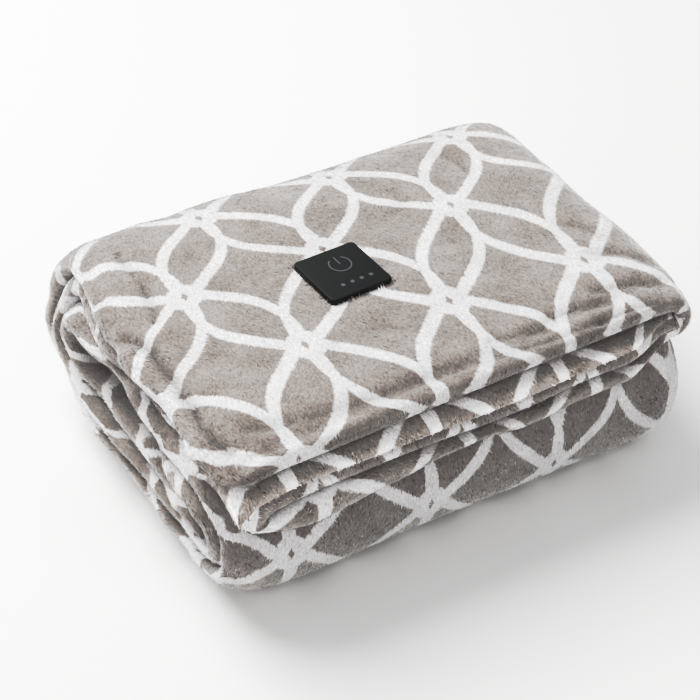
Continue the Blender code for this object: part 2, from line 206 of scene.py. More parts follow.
def hemSection(ring, x):  # faces of both halves at a hem: outer half out and in, inner half in and out
    share = ring["share"]
    reach = outerHem["reach"] + outerHem["slant"] * x
    drop = outerHem["drop"] - outerHem["lift"] * np.maximum(0, x)
    outerOut, outerIn = hemNose(share, stackHeight - cloth["leaf"] / 2, reach, drop)
    off = (outerOut[:, 0] - outerHem["creaseY"] - outerHem["creaseSlant"] * x) / outerHem["creaseWidth"]
    outerOut[:, 1] -= outerHem["creaseDepth"] * np.exp(-off ** 2) * smooth(share, 1.0, outerHem["creaseFrom"])
    level = stackHeight - pitch + cloth["layerGap"] + cloth["leaf"] / 2
    plainIn, plainOut = hemNose(share, level, innerHem["plainReach"] + 0 * x, 0.0)
    lift = {name: through(lipHeights, name, (x / innerHem["halfLength"] + 1) / 2) / 1000
            for name in ("fold", "groove", "bottom")}
    row = {name: through(lips, name, share) for name in lips[0]}
    upper = row["upperZ"] + row["fold"] * lift["fold"] + row["upperGroove"] * lift["groove"]
    lower = row["lowerZ"] + row["groove"] * lift["groove"] + row["bottom"] * lift["bottom"]
    lipIn = np.stack([row["upperY"] + 0 * x, upper], -1)
    lipOut = np.stack([row["lowerY"] + 0 * x, lower], -1)
    closed = 1 - smooth(x - ring["innerLeft"], innerHem["shut"], innerHem["open"])
    closed = closed * smooth(share, innerHem["shutFrom"], innerHem["shutTo"])
    shutY = mix(innerHem["shutY"], innerHem["tipY"], share)
    lipIn[:, 0] = mix(lipIn[:, 0], shutY, closed)
    lipOut[:, 0] = mix(lipOut[:, 0], shutY, closed)
    pinch = smooth(x, innerHem["full"], innerHem["pinched"])[:, None]
    return outerOut, outerIn, mix(lipIn, plainIn, pinch), mix(lipOut, plainOut, pinch)


def rollSection(ring, x):  # the same faces on the roll, drawn together at the core's end
    spread = np.ones((len(x), 1))
    middle = (halfLayer + cloth["leafGap"] / 2) / 2
    faces = []
    for level in (halfLayer, cloth["leafGap"] / 2, -cloth["leafGap"] / 2, -halfLayer):
        level = mix(math.copysign(middle, level), level, ring["nose"])
        faces.append(spread * (ring["centre"] + ring["normal"] * level))
    return faces


def rollRings():  # from the front hem, round the stack, to the end of the core
    rings = []
    sides = dict(outerLeft="outer", innerLeft="inner", right="right")
    for step in range(cloth["hemRings"]):
        edges = {key: roll[0][name] for key, name in sides.items()}
        rings.append(dict(edges, kind="hem", share=1 - (step / cloth["hemRings"]) ** cloth["hemSpacing"]))
    place, heading, walk = np.array([cloth["hemStart"], stackHeight - halfLayer]), 0.0, 0.0
    for row, following in zip(roll, roll[1:] + roll[-1:]):
        forward = np.array([math.cos(heading), math.sin(heading)])
        normal = np.array([-forward[1], forward[0]])
        start, firstHeading = place, heading
        radius = row.get("radius", 0.0) * pitch
        length = math.pi * radius if row["turn"] else abs(row["end"] - start[0])
        for step in range(row["rings"] + 1):
            share = step / row["rings"]
            if row["turn"]:
                angle = math.pi * share
                place = start - normal * radius * (1 - math.cos(angle)) + forward * radius * math.sin(angle)
                heading = firstHeading - angle
            else:
                place = start + forward * length * share
            if step < row["rings"]:
                edges = {key: mix(row[name], following[name], share) for key, name in sides.items()}
                rings.append(dict(edges, kind="roll", centre=place, nose=1.0, walk=walk + length * share,
                                  normal=np.array([-math.sin(heading), math.cos(heading)])))
        walk += length
    forward = np.array([math.cos(heading), math.sin(heading)])
    for step in range(cloth["noseRings"] + 1):
        angle = math.pi / 2 * step / cloth["noseRings"]
        rings.append(dict(rings[-1], centre=place + forward * cloth["coreNose"] * math.sin(angle),
                          normal=np.array([-forward[1], forward[0]]), nose=math.cos(angle),
                          walk=walk + cloth["coreNose"] * math.sin(angle)))
    return rings


def wavyEdges(rings):  # side edges as uneven as they lie, with rounded corners at the hems
    for ring in rings:
        hem = ring["kind"] == "hem"
        walk = -relief["hemWalk"] * ring["share"] if hem else ring["walk"]
        for key, half in (("outerLeft", "outer"), ("innerLeft", "inner")):
            for wave in relief["edges"]:
                off = unevenness(np.array(walk), np.array(0.0), wave["size"], relief["seeds"][half])
                ring[key] += wave[half] * float(off)
            if hem:
                corner = relief["corners"][half]
                short = max(0.0, corner - relief["hemDepth"] * (1 - math.sin(ring["share"] * math.pi / 2)))
                ring[key] += corner - math.sqrt(corner ** 2 - short ** 2)
        if hem:
            ring["innerLeft"] -= relief["innerReach"]
        else:
            corner = relief["backCorner"]
            short = corner["short"] * math.exp(-((walk - corner["walk"]) / corner["width"]) ** 2)
            ring["outerLeft"] += short
            ring["innerLeft"] += short - relief["fill"]


def acrossRing(ring):  # outside face, inside face and place across the cloth, left edge to left edge
    columns, edge = cloth["columns"], cloth["edgeRound"]
    section = hemSection if ring["kind"] == "hem" else rollSection
    angle = np.linspace(0, math.pi / 2, columns["edge"] + 1)[:-1]

    def half(left, count, out, within):
        even = np.linspace(0, 1, count + 1)
        even = mix((1 - np.cos(math.pi * even)) / 2, even, cloth["evenness"])
        x = np.concatenate([left + edge * (1 - np.cos(angle)), mix(left + edge, ring["right"], even)])
        flat = np.concatenate([np.sin(angle), np.ones(count + 1)])[:, None]
        u = np.concatenate([left + edge - cloth["edgeArc"] * (1 - angle / (math.pi / 2)), x[len(angle):]])
        faces = section(ring, x)
        middle = (faces[out] + faces[within]) / 2
        off = 1 - np.clip((x - left) / relief["rim"], 0.0, 1.0)[:, None]
        plump = (1 - off ** relief["rimFullness"]) ** (1 / relief["rimFullness"])
        return x, mix(middle, faces[out], plump), mix(middle, faces[within], flat), u

    xA, outA, inA, uA = half(ring["outerLeft"], columns["outer"], 0, 1)
    xB, outB, inB, uB = half(ring["innerLeft"], columns["inner"], 3, 2)
    depth = np.linalg.norm(outA[-1] - outB[-1]) / 2
    slot = np.linalg.norm(inA[-1] - inB[-1]) / 2
    turn = np.linspace(0, math.pi, columns["fold"] + 1)[1:-1]
    share = ((1 - np.cos(turn)) / 2)[:, None]
    foldOut, foldIn = mix(outA[-1], outB[-1], share), mix(inA[-1], inB[-1], share)
    around = math.pi * halfLayer
    x = np.concatenate([xA, ring["right"] + depth * np.sin(turn), xB[::-1]])
    xIn = np.concatenate([xA, ring["right"] + slot * np.sin(turn), xB[::-1]])
    u = np.concatenate([uA, ring["right"] + around * turn / math.pi, 2 * ring["right"] + around - uB[::-1]])
    out = np.concatenate([outA, foldOut, outB[::-1]])
    within = np.concatenate([inA, foldIn, inB[::-1]])
    return np.column_stack([x, out]), np.column_stack([xIn, within]), u


def curl(x, side, start, radius):  # how far an arc that starts at this place has risen
    past = np.clip(side * (x - start), 0.0, radius * stack["curlLimit"])
    return radius - np.sqrt(radius ** 2 - past ** 2)


def settle(points):  # the stack's own uneven shape, centred on the origin
    x, y, z = points[..., 0], points[..., 1].copy(), points[..., 2].copy()

    def fill(inside, centreY, centreZ, fullness):
        past, up = y - centreY, z - centreZ
        spread = 2 * past * up / np.maximum(past ** 2 + up ** 2, 1e-12)
        scale = 1 + fullness * spread ** 2 * inside
        return centreY + past * scale, centreZ + up * scale

    backY, frontY = cloth["turnY"]["back"], cloth["turnY"]["front"]
    y, z = fill(y > backY, backY, stackHeight / 2, stack["backFullness"])
    level = halfLayer + pitch
    y, z = fill((y < frontY) & (z < level), frontY, level, stack["frontFullness"])
    wave = np.sin(2 * math.pi * (x / stack["swayX"] + y / stack["swayY"]))
    z = z + stack["sway"] * wave * 4 * z * (stackHeight - z) / stackHeight ** 2
    rise = curl(x, *stack["leftRise"]) + curl(x, *stack["rightRise"])
    drop = curl(x, *stack["leftDrop"]) + curl(x, *stack["rightDrop"])
    height = z + rise * (1 - z / stackHeight) - drop * z / stackHeight
    past = np.maximum(0.0, np.abs(y) - stack["drawStart"]) / (stack["drawEnd"] - stack["drawStart"])
    draw = stack["draw"]
    back = np.where(x < 0, draw["leftBack"], draw["rightBack"])
    front = np.where(x < 0, draw["leftFront"], draw["rightFront"])
    narrow = 1 - np.where(y > 0, back, front) * past ** 2
    return np.stack([x * narrow - cloth["middle"][0], y - cloth["middle"][1], height], -1)


def alongCloth(rings, outside):  # length along the cloth at each point, from where the hems start
    first = cloth["hemRings"]
    steps = np.linalg.norm(np.diff(outside, axis=0), axis=-1)
    flat = np.array([np.stack([section[0], section[3]]) for section in
                     (rollSection(ring, np.zeros(1)) for ring in rings[first:])])[:, :, 0]
    run = np.cumsum(np.linalg.norm(np.diff(flat, axis=0), axis=-1), axis=0)
    run = np.concatenate([np.zeros((1, 2)), run])
    columns = cloth["columns"]
    share = np.concatenate([np.zeros(columns["edge"] + columns["outer"] + 1),
                            (1 - np.cos(np.linspace(0, math.pi, columns["fold"] + 1)[1:-1])) / 2,
                            np.ones(columns["edge"] + columns["inner"] + 1)])
    v = mix(run[:, :1], run[:, 1:], share)
    hem = -np.cumsum(steps[:first][::-1], axis=0)[::-1]
    return np.concatenate([hem, v])


def gridNormals(points):
    return unit(np.cross(np.gradient(points, axis=1), np.gradient(points, axis=0)))


def raised(outside, u, v):  # height of lumps and creases over the plain cloth, and the creases' depth
    seeds = relief["seeds"]
    exposed = smooth(outside[..., 2], relief["flatBelow"], relief["fullAbove"])
    height = sum(wave["height"] * unevenness(u, v, wave["size"], seeds["lumps"] + place)
                 for place, wave in enumerate(relief["lumps"]))
    side = 1 - smooth(outside[..., 0] - outside[..., 0].min(), 0.0, relief["sideReach"])
    height = height + side * relief["sideLumps"] * unevenness(u, v, relief["sideLump"], seeds["side"])
    trough = 0 * u
    for crease in relief["creases"]:
        away = fromLine(u * 1000, v * 1000, crease["line"])
        trough = trough + crease["depth"] / 1000 * np.exp(-(away / crease["width"]) ** relief["keen"])
    return (height - trough) * exposed, trough


def quads(index):  # faces of a grid of points
    a, b = index[:-1, :-1], index[:-1, 1:]
    c, d = index[1:, 1:], index[1:, :-1]
    return np.stack([a, b, c, d], -1).reshape(-1, 4)


def hemColumns():  # the inner half's faces start at the middle of the fold
    return cloth["columns"]["edge"] + cloth["columns"]["outer"] + cloth["columns"]["fold"] // 2


def blanketPrint(u, v, x, outside, inside, corners):  # where faces' corners lie on the cloth and in the print
    placed = np.stack([u, v], -1).reshape(-1, 2)[corners]
    pattern = printPlace(placed[..., 0], placed[..., 1])
    strayed = smooth(x, x.min() + relief["strayFrom"], x.min() + relief["strayTo"]) * relief["stray"]
    for axis, (size, seed) in enumerate(zip(relief["straySizes"], relief["seeds"]["stray"])):
        pattern[..., axis] += strayed * unevenness(placed[..., 0], placed[..., 1], size, seed)
    hem, places, half = cloth["hemRings"], printed["hemPrint"], len(corners) // 2
    ring, column = np.divmod(np.arange(half), u.shape[1] - 1)
    inHem = (ring < hem) & (column >= hemColumns())
    for start, face, chosen, place, inward in (
            (0, outside, inHem, places["bottom"], -1),
            (half, inside, inHem & (ring >= places["fold"]["ring"]), places["fold"], 1),
            (half, inside, inHem & (ring < places["fold"]["ring"]), places["strip"], 1)):
        rows = np.flatnonzero(chosen) + start
        pattern[rows] = hemPlace(place, u, face, inward).reshape(-1, 2)[corners[rows]]
    return placed, pattern


def paintedLightShadeShares(shape):  # how much painted light the hem's lips get and how much painted shade the front turn, out and in
    hem, first, share = cloth["hemRings"], hemColumns(), printed["paintedLightShade"]
    outside, inside = np.zeros(shape), np.zeros(shape)
    outside[:hem, first:] = share["bottom"]
    inside[:hem, first:] = share["fold"]
    inside[:printed["hemPrint"]["strip"]["ring"], first:] = share["strip"]
    front = [row["name"] for row in roll].index("front turn")
    start, rings = hem + sum(row["rings"] for row in roll[:front]), roll[front]["rings"]
    outside[start:start + rings] = share["turn"] * np.sin(np.linspace(0, math.pi, rings))[:, None]
    return outside, inside


def buildBlanket():
    rings = rollRings()
    wavyEdges(rings)
    parts = [acrossRing(ring) for ring in rings]
    outside, inside, u = (np.array([part[place] for part in parts]) for place in range(3))
    v = alongCloth(rings, outside)
    outside, inside = settle(outside), settle(inside)
    height, trough = raised(outside, u, v)
    height[[0, -1]], height[:, [0, -1]] = 0, 0
    outside = outside + gridNormals(outside) * height[..., None]
    inside[0], inside[-1] = outside[0], outside[-1]
    inside[:, 0], inside[:, -1] = outside[:, 0], outside[:, -1]
    outIndex = np.arange(u.size).reshape(u.shape)
    inner = np.zeros(u.shape, bool)
    inner[1:-1, 1:-1] = True
    inIndex = outIndex.copy()
    inIndex[inner] = u.size + np.arange(inner.sum())
    points = np.concatenate([outside.reshape(-1, 3), inside[inner]])
    faces = np.concatenate([quads(outIndex), quads(inIndex)[:, ::-1]])
    corners = np.concatenate([quads(outIndex), quads(outIndex)[:, ::-1]])
    placed, pattern = blanketPrint(u, v, points[faces][..., 0], outside, inside, corners)
    mesh = bpy.data.meshes.new("plush_blanket")
    mesh.from_pydata(points.tolist(), [], faces.tolist())
    mesh.uv_layers.new(name="cloth").data.foreach_set("uv", placed.ravel())
    mesh.uv_layers.new(name="print").data.foreach_set("uv", pattern.ravel())
    mesh.shade_smooth()
    # crease depths in mm, which the material paints as shade along the creases
    troughs = np.maximum(0.0, np.concatenate([trough.ravel(), np.zeros(int(inner.sum()))])) * 1000
    # shares of painted light on the lips and painted shade on the front turn
    paintedLightShade, paintedLightShadeInside = paintedLightShadeShares(u.shape)
    spots = dict(trough=troughs, paintedLightShade=np.concatenate([paintedLightShade.ravel(), paintedLightShadeInside[inner]]))
    for name, values in spots.items():
        mesh.attributes.new(name, "FLOAT", "POINT").data.foreach_set("value", values)
    blanket = bpy.data.objects.new("plush_blanket", mesh)
    bpy.context.scene.collection.objects.link(blanket)
    return blanket


# ---- finishes: shader maths is written as Python expressions on sockets
class Shade:
    def __init__(self, tree, socket=None):
        self.tree, self.socket = tree, socket

    def node(self, kind, settings=None, inputs=None, output=0):  # any node: its settings, then its sockets
        made = self.tree.nodes.new(kind)
        for key, value in (settings or {}).items():
            setattr(made, key, value)
        for key, value in (inputs or {}).items():
            if isinstance(value, Shade):
                self.tree.links.new(value.socket, made.inputs[key])
            else:
                made.inputs[key].default_value = value
        return Shade(self.tree, made.outputs[output])

    def maths(self, operation, *values, clamp=False, swap=False):
        values = (*values, self) if swap else (self, *values)
        settings = dict(operation=operation, use_clamp=clamp)
        return self.node("ShaderNodeMath", settings, dict(enumerate(values)))

    def __add__(self, other):
        return self.maths("ADD", other)

    def __sub__(self, other):
        return self.maths("SUBTRACT", other)

    def __rsub__(self, other):
        return self.maths("SUBTRACT", other, swap=True)

    def __mul__(self, other):
        return self.maths("MULTIPLY", other)

    def __truediv__(self, other):
        return self.maths("DIVIDE", other)

    def __abs__(self):
        return self.maths("ABSOLUTE")

    def sine(self):
        return self.maths("SINE")

    def least(self, other):
        return self.maths("MINIMUM", other)

    def most(self, other):
        return self.maths("MAXIMUM", other)

    def held(self):  # between 0 and 1
        return self.maths("ADD", 0.0, clamp=True)

    def attribute(self, name):
        return self.node("ShaderNodeAttribute", dict(attribute_name=name), output=2)

    def parts(self):  # of a place or a colour
        split = self.node("ShaderNodeSeparateXYZ", None, {0: self})
        return [Shade(self.tree, socket) for socket in split.socket.node.outputs]

    def grey(self):
        return self.node("ShaderNodeCombineXYZ", None, {0: self, 1: self, 2: self})

    def noise(self, where, scale, detail, roughness, stretch=(1, 1, 1)):
        placed = self.node("ShaderNodeMapping", None, {"Vector": where, "Scale": stretch})
        return self.node("ShaderNodeTexNoise", dict(noise_dimensions="3D"),
                         {"Vector": placed, "Scale": scale, "Detail": detail, "Roughness": roughness})

    def blend(self, share, first, second, kind="MIX"):
        return self.node("ShaderNodeMix", dict(data_type="RGBA", blend_type=kind),
                         {0: share, 6: first, 7: second}, output=2)


def newMaterial(name):
    material = bpy.data.materials.new(name)
    material.use_nodes = True
    shader = material.node_tree.nodes["Principled BSDF"]
    return material, Shade(material.node_tree), shader


def wire(start, shader, socket):
    start.tree.links.new(start.socket, shader.inputs[socket])


def setSockets(shader, values):
    for name, value in values.items():
        shader.inputs[name].default_value = value


printed = dict(
    lattice=0.09815, first=-0.07156,                    # between the flowers of a row, and the first one
    rows=[dict(row=-1, left=-0.0470, right=-0.0620, shift=-0.0040),     # where each row lies on the cloth,
          dict(row=0, left=0.0430, right=0.0254, shift=-0.0062),        # at its left and right ends
          dict(row=1, left=0.1124, right=0.1200, shift=0.0019),
          dict(row=2, left=0.1797, right=0.1869, shift=-0.0019),
          dict(row=7, left=0.6010, right=0.5750, shift=-0.0091)],
    reach=0.150, rowStep=0.0815,
    hemPrint=dict(row=0.55,                             # the lips' faces, by ring and place along X
                  fold=dict(ring=14, at=0.3510, lattice=0.0970),
                  strip=dict(ring=14, at=0.3310, lattice=0.0970),
                  bottom=dict(ring=18, at=0.4255, lattice=0.1010)),
    spacing=84.0, gap=2.4, bow=14.4, fullness=0.655, lean=0.45,         # petals, in mm
    line=7.5, flower=12.3, eye=(2.4, 4.4), soft=1.3, fray=1.0,          # in mm
    flowerShort=0.96, eyeEdge=2.5,
    ground=(0.281, 0.258, 0.246), groundDark=(0.205, 0.185, 0.173),
    pale=(0.82, 0.81, 0.815), paleDark=(0.70, 0.685, 0.695),
    recessShade=0.30, creaseShade=0.13, darkest=0.25,            # painted shade: darker where the cloth is shut in, and in creases
    fleck=0.25, darkestFleck=-0.65,                     # lighter and darker tufts
    paintedLightShade=dict(fold=0.66, strip=0.15, bottom=0.14, turn=-0.17),           # painted light, or painted shade where negative, by this share
)

plush = dict(
    wander=dict(scale=520.0, detail=3.0),               # frays the print's edges, in waves per metre
    brushed=dict(scale=38.0, detail=3.0, roughness=0.6), brushedFrom=0.36, brushedGain=3.2,
    fine=dict(scale=900.0, detail=2.0, roughness=0.6, stretch=(1.0, 0.45, 1.0)), fineGain=1.25,
    nap=dict(scale=700.0, detail=3.0, roughness=0.65, stretch=(1.0, 0.4, 1.0)), napHeight=0.0011,
    swell=dict(scale=130.0, detail=2.0, roughness=0.5), swellHeight=0.0012, bump=0.8,
    finish={"Roughness": 0.95, "Sheen Weight": 0.9, "Sheen Roughness": 0.45, "Specular IOR Level": 0.15},
)


def printPlace(u, v):  # lattice coordinates of the print: flowers lie at whole numbers
    beyond = 0.2
    side = np.clip((u / printed["reach"] + 1) / 2, -beyond, 1 + beyond)
    rows = printed["rows"]
    places = [mix(row["left"], row["right"], side) for row in rows]
    step = printed["rowStep"]
    row = rows[0]["row"] + (v - places[0]) / step
    shift = rows[0]["shift"] + 0 * u
    for low, high, start, end in zip(rows, rows[1:], places, places[1:]):
        share = (v - start) / (end - start)
        row = np.where(share > 0, mix(low["row"], high["row"], share), row)
        shift = np.where(share > 0, mix(low["shift"], high["shift"], np.clip(share, 0, 1)), shift)
    row = np.where(v > places[-1], rows[-1]["row"] + (v - places[-1]) / step, row)
    along = (u - shift - printed["first"]) / printed["lattice"]
    return np.stack([along + row / 2, along - row / 2], -1)


def hemPlace(place, u, face, inward):  # the same on one face of the inner half's hem, from the ring it names
    steps = np.linalg.norm(np.diff(face, axis=0), axis=-1)
    run = np.concatenate([np.zeros((1, face.shape[1])), np.cumsum(steps, axis=0)])
    away = (run - run[place["ring"]]) * inward
    row = printed["hemPrint"]["row"] + away / printed["rowStep"]
    along = (u - place["at"]) / place["lattice"]
    return np.stack([along + row / 2, along - row / 2], -1)


def plushMaterial():
    material, shade, shader = newMaterial("printed_plush")
    where = shade.node("ShaderNodeUVMap", dict(uv_map="cloth"))
    wander = shade.node("ShaderNodeTexNoise", dict(noise_dimensions="3D"), {
        "Vector": where, "Scale": plush["wander"]["scale"], "Detail": plush["wander"]["detail"]}, output=1)
    fray = printed["fray"] * 2 / printed["spacing"]
    lattice = shade.node("ShaderNodeUVMap", dict(uv_map="print"))
    a, b = (place + (off - 0.5) * fray for place, off in zip(lattice.parts()[:2], wander.parts()))
    fromA, fromB = a - a.maths("ROUND"), b - b.maths("ROUND")

    def arcs(along, across):  # distance to the two arcs of each petal, in mm
        turn = along.maths("FRACT") * math.pi
        lean = across.maths("SIGN") * turn.maths("COSINE") * printed["lean"]
        bow = turn.sine().maths("POWER", printed["fullness"]) * (1.0 - lean) * printed["bow"]
        return abs(abs(across) * printed["spacing"] - bow - printed["gap"])

    off = arcs(a, fromB).least(arcs(b, fromA))
    sideways = (fromA + fromB) * (printed["lattice"] * 1000 / 2)
    upwards = (fromA - fromB) * (printed["rowStep"] * 1000 * printed["flowerShort"])
    fromFlower = (sideways * sideways + upwards * upwards).maths("SQRT")
    flower = fromFlower - printed["flower"] + printed["line"] / 2
    line = ((printed["line"] / 2 - off.least(flower)) / printed["soft"] + 0.5).held()
    eye = abs(sideways) / printed["eye"][0] + abs(upwards) / printed["eye"][1]
    line = line * ((eye - 1.0) * printed["eyeEdge"] + 0.5).held()
    brushed = ((shade.noise(where, **plush["brushed"]) - plush["brushedFrom"]) * plush["brushedGain"]).held()
    ground = shade.blend(brushed, (*printed["groundDark"], 1), (*printed["ground"], 1))
    pale = shade.blend(brushed, (*printed["paleDark"], 1), (*printed["pale"], 1))
    colour = shade.blend(line, ground, pale)
    # painted shade where the cloth is shut in and along creases, painted light on the hem's lips and painted
    # shade on the front turn, all scaling the colour
    inside = 1.0 - shade.attribute("open")
    paintedLightShade = (1.0 - inside) * (1.0 - inside) * shade.attribute("paintedLightShade")
    shut = inside * inside * inside * printed["recessShade"]
    paintedShading = (1.0 - shut - shade.attribute("trough") * printed["creaseShade"] + paintedLightShade).most(printed["darkest"])
    grain = ((shade.noise(where, **plush["fine"]) - 0.5) * plush["fineGain"] + 1.0) * paintedShading
    fleck = shade.attribute("tone").most(printed["darkestFleck"]) * paintedShading * printed["fleck"]
    colour = shade.blend(1.0, colour, grain.grey(), kind="MULTIPLY")
    wire(shade.blend(1.0, colour, fleck.grey(), kind="ADD"), shader, "Base Color")
    height = shade.noise(where, **plush["nap"]) * plush["napHeight"]
    height = height + shade.noise(where, **plush["swell"]) * plush["swellHeight"]
    wire(shade.node("ShaderNodeBump", None, {"Strength": plush["bump"], "Distance": 1.0, "Height": height}),
         shader, "Normal")
    setSockets(shader, plush["finish"])
    return material


pile = dict(
    pieces=4, tufts=47500, seed=5, bare=0.22,           # fewer tufts where a face is less open than this
    width=0.00038, rise=(0.00026, 0.00074), reach=(0.0020, 0.0034), sunk=0.00022,
    topRise=0.42, flatFrom=0.4, flatTo=0.95,            # the pile is brushed flat on top
    rimRise=0.9, rimReach=0.020, rimSoft=0.010,         # and stands at the side edges
    hug=0.0026, hugRise=(0.0008, 0.0026), hugReach=0.0003,      # and round the control, with none under it
    padClear=0.0004, padDepth=0.010,
    tone=0.10, sideTone=0.46, sideFrom=0.1, sideTo=0.9, onLips=0.01,    # flecks on top and elsewhere
    turned=0.8, patch=0.034, patchSeed=31, ruffled=0.36,    # how far the pile's lie wanders, in radians
    leant=0.22,                                         # how far the tufts' shading wanders
    look=0.0015, rays=14, span=1.6, facing=0.1, clear=0.060, lowest=0.004,      # how open a face is
)


def openness(tree, centres, normals):  # share of the directions round a face that nothing blocks
    turn = np.arange(pile["rays"]) * math.pi * (3 - math.sqrt(5))
    height = 1 - (np.arange(pile["rays"]) + 0.5) * pile["span"] / pile["rays"]
    flat = np.sqrt(1 - height ** 2)
    ways = np.stack([flat * np.cos(turn), flat * np.sin(turn), height], -1)
    free = np.zeros(len(centres))
    seen = normals @ ways.T > pile["facing"]
    starts = centres + normals * pile["look"]
    for face in np.flatnonzero(centres[:, 2] > pile["lowest"]):
        start = starts[face]
        for way in ways[seen[face]]:
            if tree.ray_cast(start, way, pile["clear"])[0] is None:
                free[face] += 1
    return free / np.maximum(seen.sum(1), 1)


def readValues(rows, name, width, kind=float):
    values = np.empty(len(rows) * width, kind)
    rows.foreach_get(name, values)
    return values.reshape(-1, width)


def clothFaces(mesh):  # what the tufts stand on; also writes how open the cloth is, which the material paints as shade
    points, slopes = (readValues(mesh.vertices, name, 3) for name in ("co", "normal"))
    faces = readValues(mesh.loops, "vertex_index", 1, int).reshape(-1, 4)
    maps = {layer.name: readValues(layer.data, "uv", 2).reshape(-1, 4, 2) for layer in mesh.uv_layers}
    corners = points[faces]
    area = np.linalg.norm(np.cross(corners[:, 2] - corners[:, 0], corners[:, 3] - corners[:, 1]), axis=-1) / 2
    centres = corners.mean(1)
    tree = BVHTree.FromPolygons(points.tolist(), faces.tolist())
    free = openness(tree, centres, unit(slopes[faces].mean(1)))
    shared = np.bincount(faces.ravel(), np.repeat(free * area, 4), len(points))
    shared /= np.maximum(np.bincount(faces.ravel(), np.repeat(area, 4), len(points)), 1e-12)
    mesh.attributes.new("open", "FLOAT", "POINT").data.foreach_set("value", shared)
    spots = {name: readValues(mesh.attributes[name].data, "value", 1).ravel() for name in ("trough", "paintedLightShade")}
    onCloth = maps["cloth"] - maps["cloth"].mean(1, keepdims=True)
    lengthways = -((corners - centres[:, None]) * onCloth[..., 1:]).sum(1)      # towards the front hem
    return dict(points=points, slopes=slopes, faces=faces, maps=maps, lengthways=lengthways,
                weight=area * smooth(free, 0.0, pile["bare"]), spots=dict(spots, open=shared))


def roundControl(root, up, tip, rise):  # tufts under the control, and those beside it that stand up along it
    low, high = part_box("touch_control")
    turned = np.array(Matrix.Rotation(control["turn"], 3, "Z"))
    local = (root - np.array((low + high) / 2)) @ turned
    furthest = np.abs(local[:, :2]).max(1, keepdims=True)
    outside = furthest - control["side"] / 2 - pile["padClear"]
    near = root[:, 2:] > low.z - pile["padDepth"]
    under = ((outside < 0) & near)[:, 0]
    hugging = (outside > 0) & (outside < pile["hug"]) & near
    inward = np.where(np.abs(local) > furthest - 1e-9, -np.sign(local), 0)
    inward = (inward * (1, 1, 0)) @ turned.T
    tip = np.where(hugging, root + up * rise + inward * (outside + pile["hugReach"]), tip)
    return under, hugging, inward, tip


def tuftPiece(number, stood, rng):
    tufts, points, faces = pile["tufts"], stood["points"], stood["faces"]
    chosen = rng.choice(len(faces), tufts, p=stood["weight"] / stood["weight"].sum())
    a, b = rng.random((2, tufts, 1))
    shares = np.stack([(1 - a) * (1 - b), a * (1 - b), a * b, (1 - a) * b], 1)
    root = (points[faces[chosen]] * shares).sum(1)
    up = unit((stood["slopes"][faces[chosen]] * shares).sum(1))
    placed = {name: (values[chosen] * shares).sum(1) for name, values in stood["maps"].items()}
    lengthways = stood["lengthways"][chosen]
    lengthways = unit(lengthways - up * (lengthways * up).sum(-1, keepdims=True))
    sideways = np.cross(up, lengthways)
    lie = pile["turned"] * unevenness(*placed["cloth"].T, pile["patch"], pile["patchSeed"])
    lie = (lie + rng.normal(0, pile["ruffled"], tufts))[:, None]
    way = lengthways * np.cos(lie) + sideways * np.sin(lie)
    rise, reach = (rng.uniform(*pile[name], (tufts, 1)) for name in ("rise", "reach"))
    rise = rise * mix(1.0, pile["topRise"], smooth(up[:, 2:], pile["flatFrom"], pile["flatTo"]))
    toRim = points[:, 0].min() + pile["rimReach"] - root[:, :1]
    rise = rise * (1 + pile["rimRise"] * smooth(toRim, 0.0, pile["rimSoft"]))
    tip = root + up * rise + way * reach
    under, hugging, inward, tip = roundControl(root, up, tip, rng.uniform(*pile["hugRise"], (tufts, 1)))
    beside = np.cross(up, np.where(hugging, inward, way)) * pile["width"]
    corners = np.stack([root + beside, root - beside, root - up * pile["sunk"], tip], 1)[~under]
    shape = np.array([[0, 1, 3], [1, 2, 3], [2, 0, 3], [2, 1, 0]])
    shape = np.arange(len(corners))[:, None, None] * 4 + shape
    made = bpy.data.meshes.new(f"plush_pile_{number}")
    made.from_pydata(corners.reshape(-1, 3).tolist(), [], shape.reshape(-1, 3).tolist())
    for name, values in placed.items():
        values = np.repeat(values[~under], shape[0].size, axis=0)
        made.uv_layers.new(name=name).data.foreach_set("uv", values.ravel())
    # each tuft takes the cloth's painted light and shade at its root
    rooted = {name: (values[faces[chosen]] * shares[..., 0]).sum(1)[~under]
              for name, values in stood["spots"].items()}
    brushed = smooth(up[~under, 2], pile["sideFrom"], pile["sideTo"]) * (rooted["paintedLightShade"] < pile["onLips"])
    spread = mix(pile["sideTone"], pile["tone"], brushed)
    rooted["tone"] = rng.normal(0, 1, len(corners)) * spread
    for name, values in rooted.items():
        made.attributes.new(name, "FLOAT", "POINT").data.foreach_set("value", np.repeat(values, 4))
    leant = unit(up + way * rng.normal(0, pile["leant"], (tufts, 1)))[~under]
    made.shade_smooth()
    made.normals_split_custom_set_from_vertices(np.repeat(leant, 4, axis=0).tolist())
    return made


def buildPile(blanket):
    stood = clothFaces(blanket.data)
    rng = np.random.default_rng(pile["seed"])
    pieces = []
    for number in range(pile["pieces"]):
        made = tuftPiece(number + 1, stood, rng)
        made.materials.append(blanket.data.materials[0])
        piece = bpy.data.objects.new(made.name, made)
        bpy.context.scene.collection.objects.link(piece)
        pieces.append(piece)
    return pieces


blanket = buildBlanket()
blanket.data.materials.append(plushMaterial())
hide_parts("blanket")
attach(blanket, "root")
print("blanket made:", len(blanket.data.polygons), "faces")

